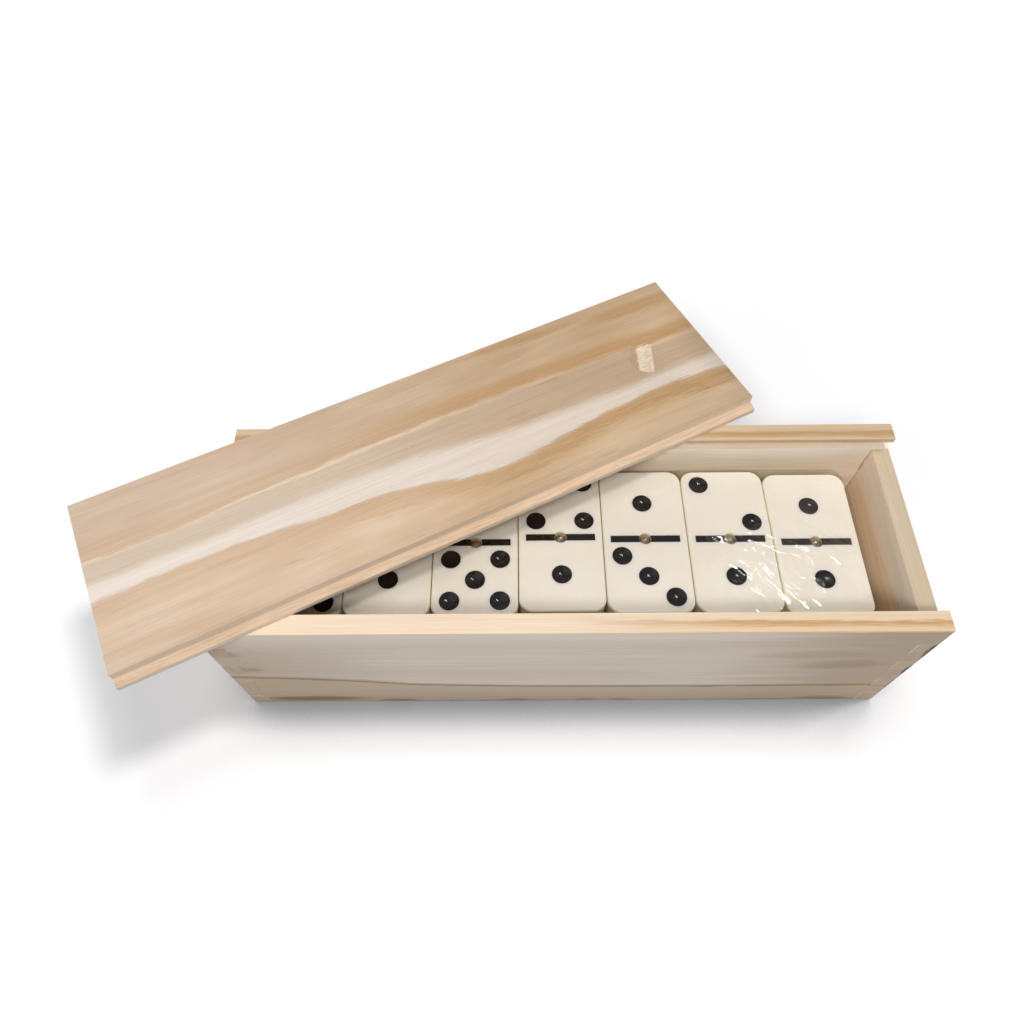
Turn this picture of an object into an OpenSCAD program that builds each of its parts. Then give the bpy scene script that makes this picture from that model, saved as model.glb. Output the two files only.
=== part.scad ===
// Wooden storage box for a double-six set of dominoes.
// Two grooved side boards are finger-jointed to a tall left end board and a
// low right end board, with a base panel let into the lower edges. The lid is
// a flat board with a tongue down each long edge: it slides in over the low
// end. Here it lies across the top of the box at an angle, off its grooves.
// Inside stand seven columns of four dominoes, wrapped together in clear film.
// Frame: origin at the centre of the underside, X to the right along the box,
// Y away from the front, Z up. Millimetres.

/* [View] */
// which piece to draw

/* [Room round the set] */
// air between the wrapped set and the tall left end board
left_gap = 5.4; // [1:0.1:12]
// air between the wrapped set and the low right end board
right_gap = 7.9; // [1:0.1:16]
// air between the wrapped set and the front side board
front_gap = 3.35; // [0.5:0.05:8]
// air between the wrapped set and the back side board
back_gap = 2.45; // [0.5:0.05:8]
// depth from the rim down to the wrapped set
head_space = 11.7; // [7:0.1:20]

/* [Box] */
// thickness of the side boards
side_t = 5.8; // [5:0.1:9]
// thickness of the end boards
end_t = 5.4; // [4:0.1:9]
// thickness of the base panel
base_t = 4; // [3:0.1:6]
// how far the base panel is let into the boards
base_let = 2.8; // [1:0.1:3.5]
// clearance round the base panel
base_fit = 0.1; // [0.05:0.05:0.5]
// height of one finger of the corner joints
finger_h = 6.9; // [5:0.1:12]
// clearance at each face of a finger
finger_fit = 0.05; // [0.02:0.01:0.3]

/* [Lid groove] */
// thickness of the lip above the groove
lip_t = 2; // [1.5:0.1:4]
// depth of the groove into the side boards
groove_d = 2.6; // [1.5:0.1:3.5]
// how far the top of the low end lies below the groove's floor
end_below = 0.7; // [0.2:0.1:3]

/* [Lid] */
// thickness of the lid at its raised panel
lid_t = 5; // [4:0.1:8]
// thickness of the tongue where it meets the panel
tongue_t = 2.2; // [1.5:0.1:3.5]
// thickness of the tongue at its outer edge
tongue_edge_t = 1.7; // [1:0.1:2.2]
// clearance above and below the tongue in its groove
tongue_fit_z = 0.3; // [0.1:0.05:0.8]
// clearance at the tongue's outer edge in its groove
tongue_fit_y = 0.3; // [0.1:0.05:0.8]
// clearance between the raised panel and each lip
panel_fit = 0.2; // [0.1:0.05:0.6]
// clearance between the lid and the left end board when it is shut
lid_end_fit = 0.3; // [0.1:0.1:1]
// radius of the half-round thumb notch
notch_r = 6.1; // [4:0.1:12]
// depth of the thumb notch
notch_depth = 1.6; // [0.8:0.1:2.5]
// distance from the notch's centre back to its deepest line
notch_deep_x = 2.7; // [2:0.1:5]
// distance from the notch's centre back to the bend in its floor
notch_bend_x = 0.9; // [0.1:0.1:1.8]
// depth of the notch at the bend in its floor
notch_bend_depth = 1.1; // [0.3:0.1:1.4]
// distance from the notch's centre on to where its floor meets the face
notch_end_x = 1.6; // [0.5:0.1:3.5]
// turn of the notch's floor from square across the lid
notch_turn = -25; // [-40:1:40]
// distance from the centre of the thumb notch to the lid's right end
notch_from_end = 20; // [12:0.5:60]
// angle at which the lid lies across the box
lid_turn = 26.55; // [-35:0.05:35]
// where the middle of the lid lies along the box
lid_x = -42; // [-60:0.5:60]
// where the middle of the lid lies across the box
lid_y = 22.2; // [-24:0.1:24]
// air between the lid and the rims that it lies on
lid_rest_gap = 0.05; // [0.02:0.01:0.2]

/* [Dominoes] */
// width of one domino
tile_w = 25.2; // [23:0.1:26]
// length of one domino
tile_l = 48.2; // [46:0.1:50]
// thickness of one domino
tile_t = 10.6; // [8:0.1:11]
// corner radius of a domino seen from above
tile_r = 4; // [2:0.1:6]
// radius of the soft edge round each face
edge_r = 0.6; // [0.4:0.1:1.5]
// gap between two columns of dominoes
column_gap = 0.2; // [0.1:0.05:0.6]
// furthest that a column of dominoes sits off the middle of the set
column_stray = 1.05; // [0:0.05:2]
// diameter of a pip
pip_d = 5.9; // [3:0.1:6.2]
// depth of a pip's recess
pip_depth = 0.9; // [0.5:0.05:1.5]
// thickness of the enamel in the middle of a pip
enamel_t = 0.25; // [0.1:0.05:0.4]
// distance between the pips of one row
pip_x = 14.6; // [11:0.1:15]
// distance between two rows of pips
pip_y = 6.7; // [6.3:0.1:7.2]
// distance from the middle of the domino to the middle of each half
half_y = 12.4; // [11.8:0.1:12.8]
// length of the centre bar
bar_l = 20.8; // [14:0.1:22]
// width of the centre bar
bar_w = 2.3; // [1.5:0.1:2.8]
// depth of the centre bar's groove
bar_depth = 0.7; // [0.4:0.05:1]
// how far the enamel in the bar lies below the face
bar_sink = 0.25; // [0.1:0.05:0.35]
// head diameter of the spinner pin
pin_d = 3.7; // [2.4:0.1:4.2]
// shank diameter of the spinner pin
pin_shank_d = 1.6; // [1:0.1:2]
// length of the spinner pin's shank
pin_l = 5; // [3:0.1:7]
// how far the top of the pin's head lies below the face
pin_sink = 0.1; // [0.05:0.05:0.3]
// height of the pin's head
pin_head_h = 1; // [0.5:0.1:1.5]
// clearance round the pin's head and shank
pin_fit = 0.03; // [0.01:0.01:0.1]

/* [Film] */
// thickness of the wrapping film
film_t = 0.1; // [0.05:0.01:0.2]
// air between the film and the dominoes
film_fit = 0.05; // [0.02:0.01:0.15]

/* [Hidden] */
$fn = 48;
// how far a cut runs past the face that it starts from
cut = 1;
// columns of dominoes, and dominoes in a column
columns = 7;
layers = 4;
// how far each column sits off the middle of the set, from the right, as a
// share of the furthest
STRAY = [-1, 0.15, 0.3, 1, -0.5, -0.3, -0.7];
// the set: pips of the far half, pips of the near half, column, layer
SET = [
    [0, 0, 0, 0], [0, 1, 1, 0], [0, 2, 2, 0], [0, 3, 3, 0], [0, 4, 4, 0], [0, 5, 5, 0], [0, 6, 6, 0],
    [3, 6, 0, 1], [4, 4, 1, 1], [4, 5, 2, 1], [4, 6, 3, 1], [5, 5, 4, 1], [5, 6, 5, 1], [6, 6, 6, 1],
    [2, 3, 0, 2], [2, 4, 1, 2], [2, 5, 2, 2], [2, 6, 3, 2], [3, 3, 4, 2], [3, 4, 5, 2], [3, 5, 6, 2],
    [1, 1, 0, 3], [2, 1, 1, 3], [1, 3, 2, 3], [4, 1, 3, 3], [1, 5, 4, 3], [6, 1, 5, 3], [2, 2, 6, 3]
];
// wrapped set
film_s = film_t + film_fit;
pitch_x = tile_w + column_gap;
set_l = columns * pitch_x - column_gap;
set_w = tile_l + 2 * column_stray;
set_h = layers * tile_t;
set_x = (left_gap - right_gap) / 2;
set_y = (front_gap - back_gap) / 2;
set_z = base_t + film_s;
// box
inner_l = set_l + 2 * film_s + left_gap + right_gap;
inner_w = set_w + 2 * film_s + front_gap + back_gap;
box_l = inner_l + 2 * end_t;
box_w = inner_w + 2 * side_t;
box_h = base_t + set_h + 2 * film_s + head_space;
groove_h = tongue_t + 2 * tongue_fit_z;
groove_z = box_h - lip_t - groove_h;
low_h = groove_z - end_below;
// lid
lid_l = box_l - end_t - lid_end_fit;
panel_w = inner_w - 2 * panel_fit;
tongue_w = inner_w + 2 * (groove_d - tongue_fit_y);
// recesses of the dominoes
pip_r = pip_d / 2;
bowl_h = pip_depth - enamel_t;
bowl_r = (pip_r * pip_r + bowl_h * bowl_h) / (2 * bowl_h);
head_r = (pin_d * pin_d / 4 + pin_head_h * pin_head_h) / (2 * pin_head_h);

// ---------- shared shapes ----------

// a rectangle with its corners rounded to r, centred on the origin
module round_rect(w, h, r) {
    square([w - 2 * r, h], center = true);
    square([w, h - 2 * r], center = true);
    for (sx = [-1, 1], sy = [-1, 1])
        translate([sx * (w / 2 - r), sy * (h / 2 - r)]) circle(r = r);
}

// the rebate round the lower inner edges of the boards, for the base panel
module base_rebate() {
    translate([-inner_l / 2 - base_let, -inner_w / 2 - base_let, -cut])
        cube([inner_l + 2 * base_let, inner_w + 2 * base_let, base_t + cut]);
}

// the bands up a corner where the end board's fingers come through the side
// board: every other finger height from the bottom, each f wider both ways
module finger_bands(len, wid, f) {
    for (z = [0 : 2 * finger_h : low_h - 1.5 * finger_h])
        translate([0, 0, z - f]) cube([len, wid, finger_h + 2 * f]);
}

// one side board, built for the back; its inner face looks towards -Y
module side_board() {
    difference() {
        translate([-box_l / 2, inner_w / 2, 0]) cube([box_l, side_t, box_h]);
        // lid groove, open at the low end
        translate([-box_l / 2 - cut, inner_w / 2 - cut, groove_z])
            cube([box_l + 2 * cut, groove_d + cut, groove_h]);
        // room for the end boards' fingers
        for (x = [inner_l / 2 - finger_fit, -box_l / 2 - cut])
            translate([x, inner_w / 2 - cut, 0])
                finger_bands(end_t + finger_fit + cut, side_t + 2 * cut, finger_fit);
        base_rebate();
    }
}

// one end board of height h, built for the right
module end_board(h) {
    difference() {
        union() {
            translate([inner_l / 2, -inner_w / 2 + finger_fit, 0])
                cube([end_t, inner_w - 2 * finger_fit, h]);
            translate([inner_l / 2, -box_w / 2, 0]) finger_bands(end_t, box_w, 0);
        }
        base_rebate();
    }
}

// a plain domino with soft edges, its underside centre on the origin
module tile_blank() {
    translate([0, 0, tile_t / 2]) {
        rotate([90, 0, 0])
            linear_extrude(tile_l - 2 * tile_r, center = true)
                round_rect(tile_w, tile_t, edge_r);
        rotate([90, 0, 90])
            linear_extrude(tile_w - 2 * tile_r, center = true)
                round_rect(tile_l, tile_t, edge_r);
        for (sx = [-1, 1], sy = [-1, 1])
            translate([sx * (tile_w / 2 - tile_r), sy * (tile_l / 2 - tile_r), 0])
                rotate_extrude()
                    intersection() {
                        round_rect(2 * tile_r, tile_t, edge_r);
                        translate([0, -tile_t / 2]) square([tile_r, tile_t]);
                    }
    }
}

// the pips of one half: n pips round the origin, each drawn as the child
module pips(n) {
    x = pip_x / 2;
    y = pip_y;
    spots = concat(
        n % 2 == 1 ? [[0, 0]] : [],
        n > 1 ? [[-x, y], [x, -y]] : [],
        n > 3 ? [[x, y], [-x, -y]] : [],
        n == 6 ? [[-x, 0], [x, 0]] : []);
    for (p = spots) translate([p[0], p[1], 0]) children();
}

// both halves of the domino d, drawn at its face
module face(d) {
    translate([0, half_y, tile_t]) pips(d[0]) children();
    translate([0, -half_y, tile_t]) pips(d[1]) children();
}

// to the place of the domino d in the wrapped set
module place(d) {
    translate([
        set_x + (set_l - tile_w) / 2 - d[2] * pitch_x,
        set_y + STRAY[d[2]] * column_stray,
        set_z + d[3] * tile_t
    ]) children();
}

// half the spinner pin's outline, the domino's face at height 0
module pin_outline() {
    intersection() {
        translate([0, -pin_sink - pin_head_h]) square([pin_d / 2, pin_head_h]);
        translate([0, -pin_sink - head_r]) circle(r = head_r);
    }
    translate([0, -pin_sink - pin_head_h - pin_l]) square([pin_shank_d / 2, pin_l]);
}

// one domino with its recesses
module domino(d) {
    place(d) difference() {
        tile_blank();
        face(d) translate([0, 0, -pip_depth]) cylinder(d = pip_d, h = pip_depth + cut);
        translate([-bar_l / 2, -bar_w / 2, tile_t - bar_depth]) cube([bar_l, bar_w, bar_depth + cut]);
        // seat of the spinner pin
        translate([0, 0, tile_t - pin_sink - pin_head_h])
            cylinder(d = pin_d + 2 * pin_fit, h = pin_head_h + cut);
        translate([0, 0, tile_t - pin_sink - pin_head_h - pin_l])
            cylinder(d = pin_shank_d + 2 * pin_fit, h = pin_l + cut);
    }
}

// ---------- pieces ----------

module side_front() { color("burlywood") mirror([0, 1, 0]) side_board(); }
module side_back() { color("burlywood") side_board(); }
module end_left() { color("wheat") mirror([1, 0, 0]) end_board(box_h); }
module end_right() { color("wheat") end_board(low_h); }
module base_panel() {
    l = inner_l + 2 * base_let - 2 * base_fit;
    w = inner_w + 2 * base_let - 2 * base_fit;
    color("tan") translate([-l / 2, -w / 2, 0]) cube([l, w, base_t]);
}

module domino_0_0() { color("ivory") domino(SET[0]); }
module domino_0_1() { color("ivory") domino(SET[1]); }
module domino_0_2() { color("ivory") domino(SET[2]); }
module domino_0_3() { color("ivory") domino(SET[3]); }
module domino_0_4() { color("ivory") domino(SET[4]); }
module domino_0_5() { color("ivory") domino(SET[5]); }
module domino_0_6() { color("ivory") domino(SET[6]); }
module domino_1_1() { color("ivory") domino(SET[21]); }
module domino_1_2() { color("ivory") domino(SET[22]); }
module domino_1_3() { color("ivory") domino(SET[23]); }
module domino_1_4() { color("ivory") domino(SET[24]); }
module domino_1_5() { color("ivory") domino(SET[25]); }
module domino_1_6() { color("ivory") domino(SET[26]); }
module domino_2_2() { color("ivory") domino(SET[27]); }
module domino_2_3() { color("ivory") domino(SET[14]); }
module domino_2_4() { color("ivory") domino(SET[15]); }
module domino_2_5() { color("ivory") domino(SET[16]); }
module domino_2_6() { color("ivory") domino(SET[17]); }
module domino_3_3() { color("ivory") domino(SET[18]); }
module domino_3_4() { color("ivory") domino(SET[19]); }
module domino_3_5() { color("ivory") domino(SET[20]); }
module domino_3_6() { color("ivory") domino(SET[7]); }
module domino_4_4() { color("ivory") domino(SET[8]); }
module domino_4_5() { color("ivory") domino(SET[9]); }
module domino_4_6() { color("ivory") domino(SET[10]); }
module domino_5_5() { color("ivory") domino(SET[11]); }
module domino_5_6() { color("ivory") domino(SET[12]); }
module domino_6_6() { color("ivory") domino(SET[13]); }

// black enamel in the pips, hollowed like a bowl
module face_enamel() {
    color([0.05, 0.05, 0.05])
        for (d = SET) place(d) face(d) difference() {
            translate([0, 0, -pip_depth]) cylinder(d = pip_d, h = pip_depth);
            translate([0, 0, bowl_r - bowl_h]) sphere(r = bowl_r);
        }
}

// black enamel in the grooves of the centre bars, parted by the pin
module bar_enamel() {
    color([0.05, 0.05, 0.05])
        for (d = SET) place(d) difference() {
            translate([-bar_l / 2, -bar_w / 2, tile_t - bar_depth])
                cube([bar_l, bar_w, bar_depth - bar_sink]);
            translate([0, 0, tile_t - bar_depth - cut])
                cylinder(d = pin_d + 2 * pin_fit, h = bar_depth + 2 * cut);
        }
}

module spinner_pins() {
    color("goldenrod")
        for (d = SET) place(d) translate([0, 0, tile_t]) rotate_extrude() pin_outline();
}

// the block that the whole set makes, grown by s
module wrap(s) {
    translate([set_x, set_y, set_z - s]) linear_extrude(set_h + 2 * s)
        round_rect(set_l + 2 * s, set_w + 2 * s, tile_r + s);
}

// clear film round the whole set
module shrink_film() {
    color([0.9, 0.95, 1, 0.3]) difference() {
        wrap(film_s);
        wrap(film_fit);
    }
}

// the lid, lying across the rims
module lid() {
    y1 = panel_w / 2;
    y2 = tongue_w / 2;
    nx = lid_l / 2 - notch_from_end;
    color("burlywood")
        translate([lid_x, lid_y, box_h + lid_rest_gap]) rotate([0, 0, lid_turn])
            difference() {
                rotate([90, 0, 90]) linear_extrude(lid_l, center = true)
                    polygon([[-y2, 0], [y2, 0], [y2, tongue_edge_t], [y1, tongue_t],
                             [y1, lid_t], [-y1, lid_t], [-y1, tongue_t], [-y2, tongue_edge_t]]);
                // half-round thumb notch: steep at its round edge, then
                // rising in two slopes towards the lid's right end
                translate([nx, 0, lid_t]) rotate([0, 0, notch_turn]) intersection() {
                    translate([0, 0, -notch_depth]) cylinder(r = notch_r, h = notch_depth + cut);
                    rotate([90, 0, 0]) linear_extrude(2 * notch_r, center = true)
                        polygon([[-notch_r, cut], [-notch_r, 0], [-notch_deep_x, -notch_depth],
                                 [-notch_bend_x, -notch_bend_depth],
                                 [notch_end_x, 0], [notch_end_x, cut]]);
                }
            }
}

side_front();
side_back();
end_left();
end_right();
base_panel();
domino_0_0();
domino_0_1();
domino_0_2();
domino_0_3();
domino_0_4();
domino_0_5();
domino_0_6();
domino_1_1();
domino_1_2();
domino_1_3();
domino_1_4();
domino_1_5();
domino_1_6();
domino_2_2();
domino_2_3();
domino_2_4();
domino_2_5();
domino_2_6();
domino_3_3();
domino_3_4();
domino_3_5();
domino_3_6();
domino_4_4();
domino_4_5();
domino_4_6();
domino_5_5();
domino_5_6();
domino_6_6();
face_enamel();
bar_enamel();
spinner_pins();
shrink_film();
lid();
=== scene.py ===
"""A raw pine box for dominoes, with its lid laid askew over the film-wrapped set."""
import math

import bmesh
import bpy
from mathutils import Matrix, Vector, noise


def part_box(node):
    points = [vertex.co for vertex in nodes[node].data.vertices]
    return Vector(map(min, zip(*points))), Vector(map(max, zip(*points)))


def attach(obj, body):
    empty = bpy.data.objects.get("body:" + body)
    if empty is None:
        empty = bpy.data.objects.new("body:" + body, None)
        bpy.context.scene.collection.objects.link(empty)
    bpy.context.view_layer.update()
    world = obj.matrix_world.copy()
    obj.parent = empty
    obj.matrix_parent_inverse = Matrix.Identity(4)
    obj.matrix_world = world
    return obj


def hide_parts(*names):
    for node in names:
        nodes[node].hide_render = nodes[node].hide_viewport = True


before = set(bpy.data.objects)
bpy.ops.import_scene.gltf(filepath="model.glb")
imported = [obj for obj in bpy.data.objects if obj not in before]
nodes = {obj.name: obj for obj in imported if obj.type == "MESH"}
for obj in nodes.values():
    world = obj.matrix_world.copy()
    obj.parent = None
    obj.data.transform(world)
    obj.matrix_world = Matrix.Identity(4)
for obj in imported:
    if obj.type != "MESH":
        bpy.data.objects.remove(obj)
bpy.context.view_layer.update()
scene = bpy.context.scene

MM = 0.001
BOX_BODY = "box"
SET_BODY = "domino_pack"
LID_BODY = "lid_board"
DOMINOES = sorted(name for name in nodes if name.startswith("domino_"))

# sizes read from the frame, in metres
film_low, film_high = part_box("shrink_film")
lid_low, lid_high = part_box("lid")

# the lid in its own millimetres: its thickness, and how far along it the thumb notch sits
LID_T = (lid_high.z - lid_low.z) / MM
NOTCH_X = 78.15
NOTCH_HALF = 7.1
# the bend between the notch's two cuts: where it crosses the lid's middle, and how it slants
NOTCH_BEND_X = 74.4
NOTCH_SLANT = 0.45
# how far from the lid's middle its tongues begin
TONGUE_Y = 28.55

# how far the sharp edges of the boards and of the lid are sanded off, in mm
BOARD_EASE = 0.2
LID_EASE = 0.25

# the film: its corners' and edges' radii, its grid, and how far it hangs clear, all in mm
FILM_CORNER = 4.1
FILM_EDGE = 1.0
FILM_GRID = 0.45
FILM_UNDER_TOP = 0.06
FILM_OVER_FOOT = 0.05

# the floor: its half width in metres, and how far it lies below the box, in mm
FLOOR_HALF = 3.0
FLOOR_DROP = 0.05

# the camera: where it stands, how far it looks down, right and over, and its lens
CAMERA_AT = Vector((-13.5, -111.36, 250.64)) * MM
CAMERA_DOWN = math.radians(59.17)
CAMERA_RIGHT = math.radians(-1.09)
CAMERA_ROLL = math.radians(-1.36)
SENSOR = 36.0
LENS = 27.26
# the film's creases run to its near right corner; this turn brings them along X
CREASE_TURN = math.radians(37)


# ---------- the wood's figure ----------

# lines along a board, each a row of (along, across) points in mm: on the lid, the middle of the
# upper brown band and the sapwood's two edges
UPPER_BROWN = [(-98, 9.4), (-60, 9.6), (-20, 10.7), (0, 11.2), (20, 10.6), (40, 9.8),
               (60, 8.8), (80, 7.3), (98, 6.0)]
SAPWOOD_TOP = [(-98, -0.4), (-60, -0.7), (-20, -0.9), (0, -2.2), (20, -4.2), (40, -5.8),
               (60, -6.6), (98, -7.2)]
SAPWOOD_LOW = [(-98, -5.6), (-60, -6.4), (-35, -8.0), (-10, -10.8), (0, -12.6),
               (10, -15.0), (20, -16.1), (36, -15.4), (50, -13.2), (62, -12.2),
               (80, -12.2), (98, -14.2)]
# on the front board, the olive grain line on its face and the warm line in its top edge
OLIVE_LINE = [(-101, 24.5), (-80, 22.6), (-63, 20.2), (-45, 16.8), (-25, 15.4),
              (-7, 14.6), (101, 14.4)]
WARM_LINE = [(-101, -28.5), (-30, -29.8), (20, -30.8), (60, -31.2), (101, -31.4)]

# patches, each (along, across, half length, half width, tilt, strength) in mm and degrees
LID_PALE = [(70, -25.5, 48, 7, 0, 0.38)]
LID_STREAKS = [
    (86, 21.3, 30, 4.4, -1, 0.9), (84, 18, 40, 9, 0, 0.3), (45, 25.4, 30, 1.6, -2, 0.75),
    (40, 20.3, 11, 1.5, 0, 0.5), (0, 24.5, 15, 2.4, 0, 0.4), (-58, 27.0, 22, 1.2, 0, 0.5),
    (-85, 21, 10, 0.6, -1, 0.4), (46, 5.9, 6, 0.7, 0, 0.6), (31, -1.6, 7, 0.6, 0, 0.6),
    (90, 4.6, 9, 1.0, -4, 0.35), (24, -21.2, 19, 1.4, 0, 0.9), (88, -18.6, 17, 1.6, -6, 0.8),
    (-58, -10.6, 18, 1.1, -3, 0.7), (-90, -10.8, 8, 0.6, 2, 0.7), (-17, -15.4, 18, 1.4, -7, 0.7),
    (-46, -18.3, 5, 0.4, -2, 0.8), (47, -25.5, 6, 0.8, 0, 0.4)]
FRONT_STAINS = [
    (-80, 3.6, 22, 3.2, 0, 0.9), (-53, 1.5, 9, 2.2, 0, 0.7), (-15, 1.2, 7, 2.0, 0, 0.6),
    (8, 1.2, 5, 1.8, 0, 0.5), (19, 1.0, 6, 1.6, 0, 0.5), (84, 1.5, 12, 2.6, 0, 0.6),
    (-30, 0.3, 40, 1.4, 0, 0.45), (60, 0.4, 40, 1.6, 0, 0.4), (80, 33, 17, 5, 4, 0.4),
    (70, 41, 22, 4, 2, 0.25), (-97, 44, 6, 3.4, -10, 0.5), (-94, 31, 6, 3.0, 0, 0.5)]
FRONT_PALE = [
    (-30, 38, 45, 1.4, 0, 0.5), (-45, 35, 30, 1.0, 0, 0.5), (-5, 41, 30, 1.2, 0, 0.4),
    (58, 24, 25, 2.0, 2, 0.2), (66, 18, 12, 1.6, 0, 0.15), (70, 46, 26, 1.0, 0, 0.2)]
# painted shade in the gaps of the finger joint up the near right corner: along is the height here, and
# across is X
CORNER_JOINT_SHADE = [
    (43.5, 101.0, 6.5, 1.9, 0, 2.2), (28.5, 101.0, 5.0, 1.5, 0, 1.8), (17.0, 101.0, 14.0, 0.7, 0, 0.9)]
# where the film is creased, along and across its creases
FILM_CREASED = [(60, 32.5, 26, 13, 0, 1.0), (66.4, 34.8, 9, 6, 0, 1.0)]


# ---------- helpers ----------

def linear(hex_colour):
    """A colour given as sRGB hex, as linear RGBA."""
    parts = [int(hex_colour[i:i + 2], 16) / 255 for i in (0, 2, 4)]
    return [p / 12.92 if p <= 0.04045 else ((p + 0.055) / 1.055) ** 2.4 for p in parts] + [1.0]


def add(tree, kind, inputs=(), **settings):
    """Adds a node with its settings, and its inputs' values or links; gives its first output in use."""
    made = tree.nodes.new("ShaderNode" + kind)
    for name, value in settings.items():
        setattr(made, name, value)
    for socket, value in inputs.items() if isinstance(inputs, dict) else enumerate(inputs):
        if isinstance(value, bpy.types.NodeSocket):
            tree.links.new(value, made.inputs[socket])
        else:
            made.inputs[socket].default_value = value
    return next((output for output in made.outputs if output.enabled), None)


def new_material(name):
    """An empty material and its tree."""
    material = bpy.data.materials.new(name)
    material.use_nodes = True
    material.node_tree.nodes.clear()
    return material, material.node_tree


def object_mm(tree, turn=(0, 0, 0)):
    """The piece's own coordinates in millimetres, turned."""
    where = add(tree, "TexCoord").node.outputs["Object"]
    turned = add(tree, "VectorRotate", {"Vector": where, "Rotation": turn}, rotation_type="EULER_XYZ")
    return add(tree, "VectorMath", [turned, [1 / MM] * 3], operation="MULTIPLY")


def cloud(tree, at, size, detail=2.0, rough=0.5):
    """Noise from 0 to 1, its patches of the given size in millimetres along each axis."""
    stretched = add(tree, "VectorMath", [at, [1 / s for s in size]], operation="MULTIPLY")
    return add(tree, "TexNoise", {"Vector": stretched, "Scale": 1.0, "Detail": detail, "Roughness": rough})


def tint(tree, colour, shade, strength, *masks):
    """The colour moved towards a shade by a strength, where all the masks hold."""
    for mask in masks:
        strength = add(tree, "Math", [mask, strength], operation="MULTIPLY")
    ends = [linear(end) if isinstance(end, str) else end for end in (colour, shade)]
    return add(tree, "Mix", {0: strength, 6: ends[0], 7: ends[1]}, data_type="RGBA")


def above_line(tree, height, along, points):
    """How far a place lies above a smooth line drawn through (along, height) points."""
    first, last = points[0][0], points[-1][0]
    low, high = min(y for x, y in points) - 1.0, max(y for x, y in points) + 1.0
    share = add(tree, "MapRange", [along, first, last])
    made = add(tree, "FloatCurve", {"Value": share})
    mapping = made.node.mapping
    mapping.use_clip = False
    line = mapping.curves[0]
    shares = [((x - first) / (last - first), (y - low) / (high - low)) for x, y in points]
    line.points[0].location = shares[0]
    line.points[1].location = shares[-1]
    for spot in shares[1:-1]:
        line.points.new(*spot)
    mapping.update()
    level = add(tree, "MapRange", [made, 0.0, 1.0, low, high])
    return add(tree, "Math", [height, level], operation="SUBTRACT")


def patches(tree, along, across, spots):
    """Long soft patches, each (along, across, half length, half width, tilt, strength)."""
    flat = add(tree, "CombineXYZ", [along, across])
    total = 0.0
    for a, b, length, width, tilt, strength in spots:
        local = add(tree, "Mapping", {"Vector": flat, "Location": (a, b, 0), "Scale": (length, width, 1),
                                      "Rotation": (0, 0, math.radians(tilt))}, vector_type="TEXTURE")
        reach = add(tree, "VectorMath", [local], operation="LENGTH")
        mask = add(tree, "MapRange", [reach, 1.0, 0.35, 0.0, strength], interpolation_type="SMOOTHSTEP")
        total = add(tree, "Math", [mask, total], operation="MAXIMUM")
    return total


def to_scene(name, mesh, matrix=None):
    """A new object in the scene."""
    piece = bpy.data.objects.new(name, mesh)
    if matrix:
        piece.matrix_world = matrix
    scene.collection.objects.link(piece)
    return piece


# ---------- materials: wood ----------

def corner_joint_shade(tree):
    """Where painted shade sits in the gaps of the finger joint, at the outer edge of the box's near right
    corner.
    """
    at = object_mm(tree)
    x, y, z = add(tree, "SeparateXYZ", [at]).node.outputs
    wave = add(tree, "MapRange", [cloud(tree, at, (0.8, 0.8, 1.6)), 0.3, 0.7, -0.4, 0.4])
    inwards = add(tree, "Math", [x, wave], operation="ADD")
    near_face = add(tree, "MapRange", [y, -33.2, -33.6])
    return add(tree, "Math", [patches(tree, z, inwards, CORNER_JOINT_SHADE), near_face], operation="MULTIPLY")


def planed_wood(tree, colour, at, end_grain, end_colour):
    """Raw planed pine: matt, with raised fibres, its cut ends darker and full of pores."""
    # real fibres are 0.03 mm wide: these are drawn 0.35 mm wide and 25 mm long, so that they show
    fine = cloud(tree, at, (25, 0.35, 0.35), 3.0, 0.6)
    broad = cloud(tree, at, (60, 1.8, 1.8))
    light = add(tree, "Math", [add(tree, "MapRange", [fine, 0.25, 0.75, -0.08, 0.08]),
                               add(tree, "MapRange", [broad, 0.25, 0.75, 0.95, 1.05])], operation="ADD")
    shaded = add(tree, "VectorMath", {0: colour, 3: light}, operation="SCALE")
    pores = cloud(tree, at, (2.0, 0.5, 0.5), 3.0, 0.7)
    cut = tint(tree, end_colour[0], end_colour[1], 1.0, add(tree, "MapRange", [pores, 0.35, 0.65]))
    shaded = tint(tree, shaded, cut, 1.0, end_grain)
    # the finger joint's gaps at the near right corner are painted dark, as painted shade
    shaded = tint(tree, shaded, "5C4A43", 1.0, corner_joint_shade(tree))
    height = add(tree, "Math", [broad, 1.5, fine], operation="MULTIPLY_ADD")
    bump = add(tree, "Bump", {"Height": height, "Distance": 0.04 * MM, "Strength": 0.5})
    rough = add(tree, "MapRange", [broad, 0.2, 0.8, 0.52, 0.66])
    surface = add(tree, "BsdfPrincipled", {
        "Base Color": shaded, "Roughness": rough, "IOR": 1.5, "Normal": bump})
    add(tree, "OutputMaterial", {"Surface": surface})


def end_grain_mask(tree, turn):
    """1 on faces cut across the fibres, which run along X once turned."""
    normal = add(tree, "TexCoord").node.outputs["Normal"]
    turned = add(tree, "VectorRotate", {"Vector": normal, "Rotation": turn}, rotation_type="EULER_XYZ")
    along = add(tree, "Math", [add(tree, "SeparateXYZ", [turned])], operation="ABSOLUTE")
    return add(tree, "MapRange", [along, 0.7, 0.9])


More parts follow.
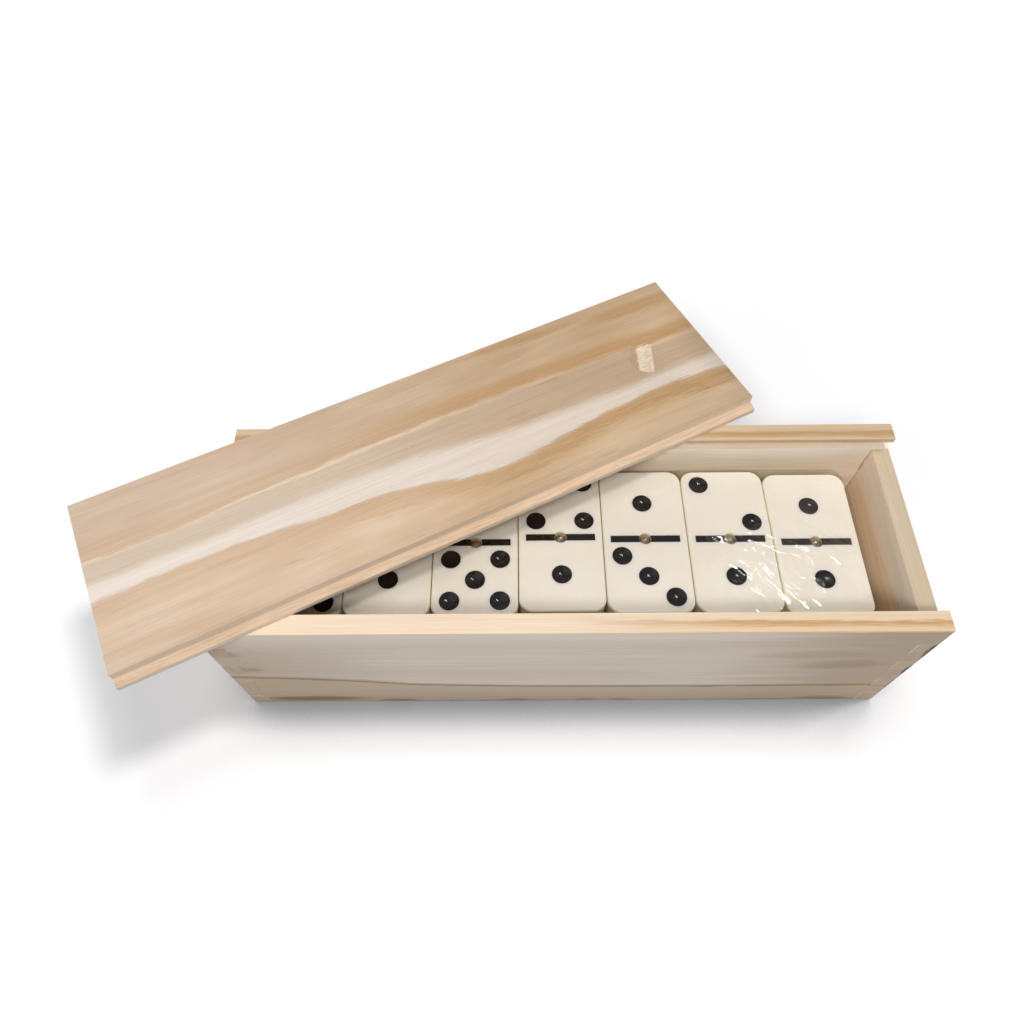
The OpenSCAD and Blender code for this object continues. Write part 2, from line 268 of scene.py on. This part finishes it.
def lid_pine():
    """Flat-sawn pine for the lid: a wavy band of white sapwood between two bands of brown latewood."""
    material, tree = new_material("raw_pine_flat_sawn")
    at = object_mm(tree)
    x, y, z = add(tree, "SeparateXYZ", [at]).node.outputs
    ragged = cloud(tree, at, (7, 0.5, 0.5), 2.0, 0.6)
    sway = add(tree, "MapRange", [cloud(tree, at, (24, 5, 8), 3.0, 0.55), 0.3, 0.7, -0.8, 0.8])
    wave = add(tree, "Math", [sway, add(tree, "MapRange", [ragged, 0.3, 0.7, -0.5, 0.5])], operation="ADD")
    edge_y = add(tree, "Math", [y], operation="ABSOLUTE")
    y = add(tree, "Math", [y, wave], operation="ADD")
    over_brown = above_line(tree, y, x, UPPER_BROWN)
    over_top = above_line(tree, y, x, SAPWOOD_TOP)
    over_low = above_line(tree, y, x, SAPWOOD_LOW)
    # the wood is darker and browner towards the right end
    right = add(tree, "MapRange", [x, -70.0, 60.0], interpolation_type="SMOOTHSTEP")
    blotch = add(tree, "MapRange", [cloud(tree, at, (30, 9, 9), 2.0, 0.5), 0.35, 0.65])
    ground = tint(tree, tint(tree, "D0BBA6", "CAB19B", 1.0, blotch),
                  tint(tree, "C8AE90", "BFA17F", 1.0, blotch), 1.0, right)
    low_ground = tint(tree, tint(tree, "DBC4AD", "D2B69A", 1.0, blotch),
                      tint(tree, "DEC2A0", "D4B48E", 1.0, blotch), 1.0, right)
    ground = tint(tree, ground, low_ground, 1.0, add(tree, "MapRange", [over_low, 1.0, -2.0]))
    # paler wood between the upper brown band and the sapwood
    between = tint(tree, "D1C1AE", "B8A189", 1.0, right)
    ground = tint(tree, ground, between, 0.75, add(tree, "MapRange", [over_brown, -2.0, -3.5]),
                  add(tree, "MapRange", [over_low, -1.0, 1.0]))
    ground = tint(tree, ground, "E8D0B2", 1.0, patches(tree, x, y, LID_PALE))
    under = add(tree, "MapRange", [over_top, 2.2, -2.2], interpolation_type="SMOOTHSTEP")
    over = add(tree, "MapRange", [over_low, -0.4, 0.7], interpolation_type="SMOOTHSTEP")
    white = add(tree, "Math", [under, over], operation="MULTIPLY")
    ground = tint(tree, ground, tint(tree, "E5D9CF", "DBCDBF", 1.0, right), 1.0, white)
    # the two brown bands fade to both sides, and towards the left end
    brown_parts = []
    for height, top, foot, fade in (
            (over_brown, (6.0, 0.6), (-2.6, -0.9), (-60.0, 30.0, 0.45, 0.95)),
            (over_low, (0.3, -1.2), (-9.0, -2.6), (-50.0, 25.0, 0.5, 0.9))):
        under = add(tree, "MapRange", [height, *top], interpolation_type="SMOOTHSTEP")
        over = add(tree, "MapRange", [height, *foot], interpolation_type="SMOOTHSTEP")
        band = add(tree, "Math", [under, over], operation="MULTIPLY")
        faded = add(tree, "MapRange", [x, *fade])
        brown_parts.append(add(tree, "Math", [band, faded], operation="MULTIPLY"))
    brown_parts.append(patches(tree, x, y, LID_STREAKS))
    # veins thin out to the left, in the sapwood and towards the front edge
    veins = add(tree, "MapRange", [cloud(tree, at, (45, 1.6, 5), 3.0, 0.6), 0.5, 0.72],
                interpolation_type="SMOOTHSTEP")
    for thin in ([x, -90.0, 80.0, 0.2, 0.5], [white, 1.0, 0.0], [y, -25.0, -10.0, 0.3, 1.0]):
        veins = add(tree, "Math", [veins, add(tree, "MapRange", thin)], operation="MULTIPLY")
    brown = veins
    for part in brown_parts:
        brown = add(tree, "Math", [brown, part], operation="MAXIMUM")
    # the fibres break the bands up
    colour = tint(tree, ground, tint(tree, "CBAC8B", "B68E62", 1.0, right), 1.0, brown,
                  add(tree, "MapRange", [ragged, 0.25, 0.6, 0.55, 1.0]))
    # a thin cream line under the upper band
    colour = tint(tree, colour, "EDDCC0", 1.0, add(tree, "MapRange", [over_brown, -2.0, -2.5]),
                  add(tree, "MapRange", [over_brown, -3.6, -2.9]),
                  add(tree, "MapRange", [x, 40.0, -10.0, 0.1, 0.45]))
    # the tongues are fresher wood, warmer than the planed face
    warm = tint(tree, "DFC6AE", "C5A585", 1.0, add(tree, "MapRange", [ragged, 0.4, 0.7]))
    tongue = add(tree, "MapRange", [edge_y, TONGUE_Y - 0.35, TONGUE_Y + 0.35])
    colour = tint(tree, colour, warm, 0.8, tongue)
    # painted light: the faces along the lid's long edges are painted lighter
    side = add(tree, "SeparateXYZ", [add(tree, "TexCoord").node.outputs["Normal"]]).node.outputs["Y"]
    side = add(tree, "Math", [side], operation="ABSOLUTE")
    colour = tint(tree, colour, "F0DFCB", 0.7, add(tree, "MapRange", [side, 0.6, 0.9]))
    # the thumb notch, chopped into the face, shows fresh pale wood behind a brown crescent of painted
    # shade on its deep side
    below = add(tree, "MapRange", [z, LID_T - 0.05, LID_T - 0.2])
    near = add(tree, "MapRange", [x, NOTCH_X - NOTCH_HALF - 0.1, NOTCH_X - NOTCH_HALF + 0.1])
    beside = add(tree, "MapRange", [edge_y, NOTCH_HALF + 0.1, NOTCH_HALF - 0.1])
    near = add(tree, "Math", [near, beside], operation="MULTIPLY")
    past_bend = add(tree, "Math", [y, -NOTCH_SLANT, x], operation="MULTIPLY_ADD")
    past_bend = add(tree, "MapRange", [past_bend, NOTCH_BEND_X - 0.3, NOTCH_BEND_X + 0.3])
    fresh = tint(tree, "E2D2BF", "CCB496", 1.0, add(tree, "MapRange", [ragged, 0.45, 0.7]))
    colour = tint(tree, colour, "B59A78", 0.45, below, near)
    colour = tint(tree, colour, fresh, 1.0, below, near, past_bend)
    flecks = add(tree, "MapRange", [cloud(tree, at, (9, 0.6, 0.6), 1.0), 0.76, 0.82, 0.0, 0.4])
    colour = tint(tree, colour, "9A7350", 1.0, flecks)
    planed_wood(tree, colour, at, end_grain_mask(tree, (0, 0, 0)), ("B08D6A", "8C6A4A"))
    return material


def board_pine(name, turn, pith, early, late, ring_mm, line_share, seed, end_colour, marks=None):
    """Pine for the box: growth rings round a pith line along the grain, and the board's own marks."""
    material, tree = new_material(name)
    at = object_mm(tree, turn)
    moved = add(tree, "VectorMath", [at, (seed * 37.0, -pith[0], -pith[1])], operation="ADD")
    bend = add(tree, "MapRange", [cloud(tree, moved, (120, 30, 30)), 0.2, 0.8, -5.0, 5.0])
    flat = add(tree, "VectorMath", [moved, (0, 1, 1)], operation="MULTIPLY")
    from_pith = add(tree, "VectorMath", [flat], operation="LENGTH")
    radius = add(tree, "Math", [from_pith, bend], operation="ADD")
    rings = add(tree, "Math", [radius, ring_mm], operation="DIVIDE")
    ring = add(tree, "Math", [rings], operation="FRACT")
    # each ring darkens slowly to its latewood line and starts again pale
    line = add(tree, "Math", [add(tree, "MapRange", [ring, 0.45, 1 - line_share]),
                              add(tree, "MapRange", [ring, 1.0, 1 - line_share])], operation="MULTIPLY")
    strength = add(tree, "MapRange", [cloud(tree, moved, (90, 7, 7), 1.0), 0.35, 0.7])
    colour = tint(tree, early, late, 1.0, line, strength)
    if marks:
        colour = marks(tree, object_mm(tree), colour)
    flecks = add(tree, "MapRange", [cloud(tree, moved, (9, 0.6, 0.6), 1.0), 0.76, 0.82, 0.0, 0.4])
    colour = tint(tree, colour, "9A7350", 1.0, flecks)
    planed_wood(tree, colour, moved, end_grain_mask(tree, turn), end_colour)
    return material


def front_marks(tree, at, colour):
    """The front board's marks: painted shade towards its ends and foot, an olive grain line, brown stains
    at its foot, a warm line in its top.
    """
    x, y, z = add(tree, "SeparateXYZ", [at]).node.outputs
    ragged = cloud(tree, at, (8, 0.5, 0.5), 3.0, 0.6)
    wave = add(tree, "MapRange", [ragged, 0.3, 0.7, -0.5, 0.5])
    z = add(tree, "Math", [z, wave], operation="ADD")
    # painted shade: greyer and darker towards both ends and downwards
    colour = tint(tree, colour, "BCAB99", 0.9, add(tree, "MapRange", [x, -45.0, -95.0]))
    colour = tint(tree, colour, "B5A28D", 1.0, add(tree, "MapRange", [x, 35.0, 92.0],
                                                   interpolation_type="SMOOTHSTEP"))
    colour = tint(tree, colour, "E8DCCE", 0.7, add(tree, "MapRange", [z, 42.0, 56.0]),
                  add(tree, "MapRange", [x, 80.0, 20.0]))
    over_line = above_line(tree, z, x, OLIVE_LINE)
    colour = tint(tree, colour, "BDA68B", 0.75, add(tree, "MapRange", [over_line, 0.3, -0.6]))
    worn = add(tree, "MapRange", [ragged, 0.3, 0.6, 0.5, 1.0])
    colour = tint(tree, colour, "84704F", 1.0, add(tree, "MapRange", [over_line, 2.4, 0.0],
                                                    interpolation_type="SMOOTHSTEP"),
                  add(tree, "MapRange", [over_line, -0.9, -0.1]), worn)
    colour = tint(tree, colour, "785B41", 1.0, patches(tree, x, z, FRONT_STAINS), worn)
    colour = tint(tree, colour, "F6EDE3", 1.0, patches(tree, x, z, FRONT_PALE), ragged)
    # the top edge is cleaner wood, with a warm line that runs out to its outer side
    clean = tint(tree, "EFDAC1", "E5CEB0", 1.0, add(tree, "MapRange", [x, -20.0, 101.0]))
    across = add(tree, "Math", [y, wave], operation="ADD")
    beside = above_line(tree, across, x, WARM_LINE)
    reach = add(tree, "MapRange", [x, 0.0, 45.0])
    clean = tint(tree, clean, "E2C199", 0.6, add(tree, "MapRange", [beside, 0.0, -0.6]), reach)
    clean = tint(tree, clean, "C4935D", 0.8, add(tree, "MapRange", [beside, 0.7, 0.1]),
                 add(tree, "MapRange", [beside, -1.7, -0.3]), reach)
    return tint(tree, colour, clean, 1.0, add(tree, "MapRange", [z, 57.3, 57.9]))


def back_marks(tree, at, colour):
    """The back board's marks: brown lines along its top edge and a warmer band inside, by the dominoes."""
    _, y, z = add(tree, "SeparateXYZ", [at]).node.outputs
    ragged = cloud(tree, at, (10, 0.5, 0.5), 3.0, 0.6)
    wave = add(tree, "MapRange", [ragged, 0.3, 0.7, -0.5, 0.5])
    across = add(tree, "Math", [y, wave], operation="ADD")
    low = add(tree, "Math", [z, wave], operation="ADD")
    colour = tint(tree, colour, "E3C39B", 0.1,
                  add(tree, "MapRange", [low, 50.0, 46.0], interpolation_type="SMOOTHSTEP"))
    top = tint(tree, "D7BFA1", "CAAE8A", 1.0, ragged)
    top = tint(tree, top, "B0895B", 0.75, add(tree, "MapRange", [across, 31.8, 31.0]),
               add(tree, "MapRange", [across, 28.6, 30.4]))
    return tint(tree, colour, top, 1.0, add(tree, "MapRange", [z, 56.6, 57.2]))


def end_marks(tree, at, colour):
    """The end boards' marks: a glue line in the back corner, a warmer foot by the dominoes painted as
    bounced light, and top faces painted darker as shade.
    """
    x, y, z = add(tree, "SeparateXYZ", [at]).node.outputs
    ragged = cloud(tree, at, (0.7, 0.7, 2.2), 3.0, 0.6)
    wave = add(tree, "MapRange", [ragged, 0.3, 0.7, -0.6, 0.6])
    low = add(tree, "Math", [z, wave], operation="ADD")
    # painted light: the foot of the faces, by the dominoes, is painted warmer, standing in for light
    # bounced off them
    colour = tint(tree, colour, "FDE0BC", 0.8, add(tree, "MapRange", [low, 42.2, 41.2]))
    # painted shade: faces that look up are painted darker than the inner faces, which carry painted light
    up = add(tree, "SeparateXYZ", [add(tree, "TexCoord").node.outputs["Normal"]]).node.outputs["Z"]
    colour = tint(tree, colour, "CBB99F", 1.0, add(tree, "MapRange", [up, 0.6, 0.8]))
    corner = add(tree, "Math", [y, wave], operation="ADD")
    inside = add(tree, "MapRange", [add(tree, "Math", [x], operation="ABSOLUTE"), 96.2, 95.9])
    return tint(tree, colour, "9C7A55", 0.7, add(tree, "MapRange", [corner, 27.2, 27.9]), inside, ragged)


# ---------- materials: dominoes and film ----------

def ivory_resin():
    """Cast urea resin, polished: cream and faintly translucent; its sides are painted yellower, as painted
    light where light passes an edge.
    """
    material, tree = new_material("cast_resin_ivory")
    at = object_mm(tree)
    blotch = add(tree, "MapRange", [cloud(tree, at, (18, 18, 18)), 0.3, 0.7])
    colour = tint(tree, "EFE8DB", "E9E0D2", 1.0, blotch)
    # painted light: the side faces are painted yellower, standing in for light passing through the edges
    up = add(tree, "SeparateXYZ", [add(tree, "TexCoord").node.outputs["Normal"]]).node.outputs["Z"]
    side = add(tree, "MapRange", [add(tree, "Math", [up], operation="ABSOLUTE"), 0.97, 0.6])
    colour = tint(tree, colour, "F0E6C8", 0.8, side)
    sink = cloud(tree, at, (6, 6, 6), 1.0)
    bump = add(tree, "Bump", {"Height": sink, "Distance": 0.02 * MM, "Strength": 0.4})
    surface = add(tree, "BsdfPrincipled", {
        "Base Color": colour, "Roughness": 0.16, "IOR": 1.53, "Subsurface Weight": 0.6,
        "Subsurface Radius": (1.0, 0.85, 0.5), "Subsurface Scale": 2.2 * MM, "Normal": bump})
    add(tree, "OutputMaterial", {"Surface": surface})
    return material


def black_enamel():
    """Brushed-in black enamel: glossy, and slightly uneven in its colour and polish."""
    material, tree = new_material("enamel_black")
    mottle = cloud(tree, object_mm(tree), (0.8, 0.8, 0.8), 3.0, 0.6)
    colour = tint(tree, "0A0706", "1C1412", 1.0, mottle)
    rough = add(tree, "MapRange", [mottle, 0.3, 0.7, 0.07, 0.14])
    bump = add(tree, "Bump", {"Height": mottle, "Distance": 0.008 * MM, "Strength": 0.6})
    surface = add(tree, "BsdfPrincipled", {
        "Base Color": colour, "Roughness": rough, "IOR": 1.5, "Normal": bump})
    add(tree, "OutputMaterial", {"Surface": surface})
    return material


def brass():
    """Turned brass, lightly tarnished, dulled to a pale gold by handling."""
    material, tree = new_material("turned_brass")
    mottle = cloud(tree, object_mm(tree), (0.9, 0.9, 0.9), 3.0, 0.6)
    colour = tint(tree, "EADFC8", "AE9877", 1.0, mottle)
    rough = add(tree, "MapRange", [mottle, 0.3, 0.7, 0.26, 0.42])
    surface = add(tree, "BsdfPrincipled", {"Base Color": colour, "Metallic": 1.0, "Roughness": rough})
    add(tree, "OutputMaterial", {"Surface": surface})
    return material


def clear_film():
    """Shrunk polyolefin film: clear and glossy, seen by what the creases near one corner mirror."""
    material, tree = new_material("polyolefin_film_clear")
    at = object_mm(tree, (0, 0, CREASE_TURN))
    along, across, _ = add(tree, "SeparateXYZ", [at]).node.outputs
    creased = patches(tree, along, across, FILM_CREASED)
    creases = add(tree, "Math", [cloud(tree, at, (6, 1.3, 6), 0.0), creased], operation="MULTIPLY")
    bump = add(tree, "Bump", {"Height": creases, "Distance": 0.25 * MM, "Strength": 1.0})
    inside = add(tree, "NewGeometry").node.outputs["Backfacing"]
    ior = add(tree, "MapRange", [inside, 0.0, 1.0, 1.5, 1 / 1.5])
    gloss = add(tree, "BsdfGlossy", {"Color": linear("FFFFFF"), "Roughness": 0.06, "Normal": bump})
    clear = add(tree, "BsdfTransparent", {"Color": linear("FDFDFD")})
    surface = add(tree, "MixShader", [add(tree, "Fresnel", {"IOR": ior}), clear, gloss])
    add(tree, "OutputMaterial", {"Surface": surface})
    return material


# ---------- pieces ----------

def eased_copy(name, ease_mm, matrix=None):
    """A board's solid as a new mesh with its sharp edges sanded off."""
    mesh = nodes[name].data.copy()
    mesh.materials.clear()
    if matrix:
        mesh.transform(matrix.inverted())
    work = bmesh.new()
    work.from_mesh(mesh)
    # flat faces become whole again, so that the bevel meets only real edges
    bmesh.ops.remove_doubles(work, verts=work.verts, dist=0.002 * MM)
    bmesh.ops.dissolve_limit(work, angle_limit=math.radians(1.0), verts=work.verts, edges=work.edges)
    work.to_mesh(mesh)
    work.free()
    piece = to_scene(name + "_eased", mesh, matrix)
    bevel = piece.modifiers.new("ease", "BEVEL")
    bevel.width = ease_mm * MM
    bevel.segments = 3
    bevel.limit_method = "ANGLE"
    bevel.angle_limit = math.radians(40)
    bevel.use_clamp_overlap = True
    bevel.harden_normals = True
    for polygon in mesh.polygons:
        polygon.use_smooth = True
    return piece


def lid_matrix():
    """Where the lid lies: its underside's middle, and the turn of its long edges."""
    points = [v.co for v in nodes["lid"].data.vertices if v.co.z < lid_low.z + 0.01 * MM]
    left = min(points, key=lambda p: p.x)
    low = min(points, key=lambda p: p.y)
    right = max(points, key=lambda p: p.x)
    long_edge = right - low
    turn = math.atan2(long_edge.y, long_edge.x)
    middle = (left + right) / 2
    return Matrix.Translation((middle.x, middle.y, lid_low.z)) @ Matrix.Rotation(turn, 4, "Z")


def wood_pieces():
    """The boards of the box and the lid."""
    along_y = (0, 0, math.radians(-90))
    cut_end = ("C6B29A", "AD987F")
    # one pine for all the boards: the front board's colours are painted darker and greyer, as painted
    # shade on its outer face; the back and end boards' colours are painted lighter, as painted light on
    # their inner faces
    front = board_pine("raw_pine_front_painted_shade", (0, 0, 0), (-70, -25), "DACEC1", "CDBDAA", 17.0, 0.12, 2.0,
                       cut_end, front_marks)
    back = board_pine("raw_pine_back_painted_light", (0, 0, 0), (60, -20), "FCEEDB", "EAD2AE", 6.5, 0.14, 5.0,
                      cut_end, back_marks)
    ends = board_pine("raw_pine_ends_painted_light", along_y, (110, -12), "FCEBD8", "F2DCC2", 11.0, 0.15, 7.0,
                      cut_end, end_marks)
    base = board_pine("raw_pine_base", (0, 0, 0), (10, -60), "DEC9A9", "C3A075", 9.0, 0.15, 9.0,
                      cut_end)
    for name, wood, slot in (("side_front", front, "pine_side"), ("side_back", back, "pine_side"),
                             ("end_left", ends, "pine_end"), ("end_right", ends, "pine_end"),
                             ("base_panel", base, "pine_base")):
        piece = eased_copy(name, BOARD_EASE)
        piece.data.materials.append(wood)
        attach(piece, BOX_BODY)
        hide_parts(name)
    lid = eased_copy("lid", LID_EASE, lid_matrix())
    lid.data.materials.append(lid_pine())
    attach(lid, LID_BODY)
    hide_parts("lid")


def domino_pieces():
    """The dominoes keep their solids; each gets its finish."""
    resin, enamel, metal = ivory_resin(), black_enamel(), brass()
    for name in DOMINOES:
        dress(name, resin)
    for name in ("face_enamel", "bar_enamel"):
        dress(name, enamel)
    dress("spinner_pins", metal)


def dress(name, material):
    """Gives a CAD solid its finish."""
    for slot in nodes[name].material_slots:
        slot.material = material


def film_piece():
    """The shrunk film: a taut skin over the set with creases fanning from its near right corner."""
    centre = (film_low + film_high) / 2
    half = (film_high - film_low) / 2
    radius, edge = FILM_CORNER * MM, FILM_EDGE * MM
    count_x, count_y = int(2 * half.x / (FILM_GRID * MM)), int(2 * half.y / (FILM_GRID * MM))
    work = bmesh.new()
    grid = {}
    for i in range(count_x + 1):
        for j in range(count_y + 1):
            x, y = -half.x + 2 * half.x * i / count_x, -half.y + 2 * half.y * j / count_y
            # pull the grid's corners in to the round outline
            cx, cy = abs(x) - (half.x - radius), abs(y) - (half.y - radius)
            if cx > 0 and cy > 0:
                reach = max(cx, cy)
                length = math.hypot(cx, cy)
                cx, cy = cx * reach / length, cy * reach / length
                x = math.copysign(half.x - radius + cx, x)
                y = math.copysign(half.y - radius + cy, y)
                inset = radius - reach
            else:
                inset = min(half.x - abs(x), half.y - abs(y))
            drop = 0.0
            if inset < edge:
                drop = edge - math.sqrt(max(edge * edge - (edge - inset) ** 2, 0.0))
            lift = crease((centre.x + x) / MM, (centre.y + y) / MM) * MM * min(1.0, inset / (2 * MM))
            z = film_high.z - FILM_UNDER_TOP * MM - drop + lift
            grid[i, j] = work.verts.new((centre.x + x, centre.y + y, z))
    for i in range(count_x):
        for j in range(count_y):
            work.faces.new((grid[i, j], grid[i + 1, j], grid[i + 1, j + 1], grid[i, j + 1]))
    # the sides hang from the rim, taken once round, and one face closes them at the foot
    rim = [grid[i, 0] for i in range(count_x)]
    rim += [grid[count_x, j] for j in range(count_y)]
    rim += [grid[i, count_y] for i in range(count_x, 0, -1)]
    rim += [grid[0, j] for j in range(count_y, 0, -1)]
    foot_z = film_low.z + FILM_OVER_FOOT * MM
    foot = [work.verts.new((v.co.x, v.co.y, foot_z)) for v in rim]
    for k in range(len(rim)):
        work.faces.new((rim[k], rim[k - 1], foot[k - 1], foot[k]))
    work.faces.new(foot[::-1])
    mesh = bpy.data.meshes.new("wrapping_film")
    work.to_mesh(mesh)
    work.free()
    for polygon in mesh.polygons:
        polygon.use_smooth = True
    piece = to_scene("wrapping_film", mesh)
    piece.data.materials.append(clear_film())
    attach(piece, SET_BODY)
    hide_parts("shrink_film")


def crease(x, y):
    """How far the film stands up at a place, in mm: small creases, strongest near the right end."""
    # the film is slack in a broad patch, in a pinched spot beside a pip, and over the centre bars
    near = math.exp(-((x - 66) ** 2 / 320 + (y + 9) ** 2 / 150))
    pinch = math.exp(-((x - 74) ** 2 + (y + 12) ** 2) / 22)
    bars = math.exp(-((x - 50) ** 2 / 90 + (y - 1) ** 2 / 8))
    along = x * math.cos(CREASE_TURN) - y * math.sin(CREASE_TURN)
    across = x * math.sin(CREASE_TURN) + y * math.cos(CREASE_TURN)
    ridge = noise.noise(Vector((along / 6.0, across / 1.5, 3.0)))
    fold = noise.noise(Vector((along / 4.0, across / 2.8, 7.0)))
    slack = noise.noise(Vector((x / 14, y / 14, 1.0)))
    specks = max(noise.noise(Vector((x / 2.2, y / 2.2, 5.0))) - 0.35, 0.0)
    raised = near * (0.2 + 0.34 * ridge + 0.2 * fold)
    raised += pinch * (0.1 + 0.3 * ridge)
    raised += bars * (0.08 + 0.25 * fold)
    return raised + 0.05 * slack + 0.1 * specks


# ---------- stage, light and camera ----------

def floor():
    """A white floor that shows the camera white where no shadow falls."""
    mesh = bpy.data.meshes.new("floor")
    corners = [(x * FLOOR_HALF, y * FLOOR_HALF, 0) for x, y in ((-1, -1), (1, -1), (1, 1), (-1, 1))]
    mesh.from_pydata(corners, [], [(0, 1, 2, 3)])
    piece = to_scene("floor", mesh)
    piece.location.z = -FLOOR_DROP * MM
    material, tree = new_material("studio_floor_white")
    # the sheet is greyer close to the box, which deepens the soft shadow where the two meet
    open_sky = add(tree, "AmbientOcclusion", {"Distance": 20 * MM}, samples=8).node.outputs["AO"]
    tone = tint(tree, "ADB1B8", "F5F6F9", 1.0, add(tree, "MapRange", [open_sky, 0.5, 0.95]))
    paint = add(tree, "BsdfDiffuse", {"Color": tone})
    lift = add(tree, "Emission", {"Color": linear("FFFFFF"), "Strength": 0.01})
    lifted = add(tree, "AddShader", [paint, lift])
    bounce = add(tree, "BsdfDiffuse", {"Color": linear("BDBDBD")})
    shown = add(tree, "MixShader", [seen_rays(tree), bounce, lifted])
    add(tree, "OutputMaterial", {"Surface": shown})
    piece.data.materials.append(material)


def seen_rays(tree, in_polish=1.0):
    """1 for rays that reach the camera directly or through something clear, and a share for polish."""
    rays = add(tree, "LightPath").node.outputs
    seen = add(tree, "Math", [rays["Is Camera Ray"], rays["Is Transmission Ray"]], operation="MAXIMUM")
    mirrored = add(tree, "Math", [rays["Is Glossy Ray"], in_polish], operation="MULTIPLY")
    return add(tree, "Math", [seen, mirrored], operation="MAXIMUM")


def sun(name, towards, degrees, share, colour="FFFFFF", in_polish=True):
    """A soft distant lamp: towards points at it, share is the light it gives a level white card."""
    data = bpy.data.lights.new(name, "SUN")
    direction = Vector(towards).normalized()
    data.angle = math.radians(degrees)
    data.energy = share * math.pi / direction.z
    data.color = linear(colour)[:3]
    piece = bpy.data.objects.new(name, data)
    piece.rotation_mode = "QUATERNION"
    piece.rotation_quaternion = direction.to_track_quat("Z", "Y")
    piece.visible_glossy = in_polish
    scene.collection.objects.link(piece)


def light():
    """A key from the right, a fill from the left, small high lamps for the polish and a white world."""
    sun("key", (26, 7, 58), 9, 0.37, "FFFBF5", in_polish=False)
    sun("fill", (-80, -145, 200), 14, 0.35, in_polish=False)
    sun("left", (-82, 10, 200), 40, 0.04)
    sun("low", (-100, -100, 110), 25, 0.03)
    sun("high", (12, 33, 93.5), 3, 0.03)
    sun("glint", (21, 27, 94), 5, 0.05)
    sun("sheen", (89, 111, 204), 10, 0.004, "FFE6CC")
    world = bpy.data.worlds.new("studio")
    scene.world = world
    world.use_nodes = True
    tree = world.node_tree
    tree.nodes.clear()
    grey = add(tree, "Background", {"Color": linear("FFFFFF"), "Strength": 0.22})
    white = add(tree, "Background", {"Color": linear("FFFFFF"), "Strength": 1.0})
    # polish mirrors the studio's white walls, low down, and a dim ceiling that keeps enamel black
    towards = add(tree, "TexCoord").node.outputs["Generated"]
    height = add(tree, "SeparateXYZ", [towards]).node.outputs["Z"]
    walls = add(tree, "MapRange", [height, 0.35, 0.2])
    add(tree, "OutputWorld", {"Surface": add(tree, "MixShader", [seen_rays(tree, walls), grey, white])})


def camera():
    """A short lens close above the box, looking steeply down."""
    ahead = Vector((math.sin(CAMERA_RIGHT) * math.cos(CAMERA_DOWN),
                    math.cos(CAMERA_RIGHT) * math.cos(CAMERA_DOWN), -math.sin(CAMERA_DOWN)))
    right = Vector((math.cos(CAMERA_RIGHT), -math.sin(CAMERA_RIGHT), 0))
    up = right.cross(ahead)
    rolled_right = math.cos(CAMERA_ROLL) * right + math.sin(CAMERA_ROLL) * up
    rolled_up = math.cos(CAMERA_ROLL) * up - math.sin(CAMERA_ROLL) * right
    data = bpy.data.cameras.new("camera")
    data.sensor_width, data.lens = SENSOR, LENS
    data.clip_start = 0.01
    piece = bpy.data.objects.new("camera", data)
    turn = Matrix((rolled_right, rolled_up, -ahead)).transposed().to_4x4()
    piece.matrix_world = Matrix.Translation(CAMERA_AT) @ turn
    scene.collection.objects.link(piece)
    scene.camera = piece


camera()
wood_pieces()
domino_pieces()
film_piece()
floor()
light()
scene.view_settings.view_transform = "Standard"
bpy.context.view_layer.update()
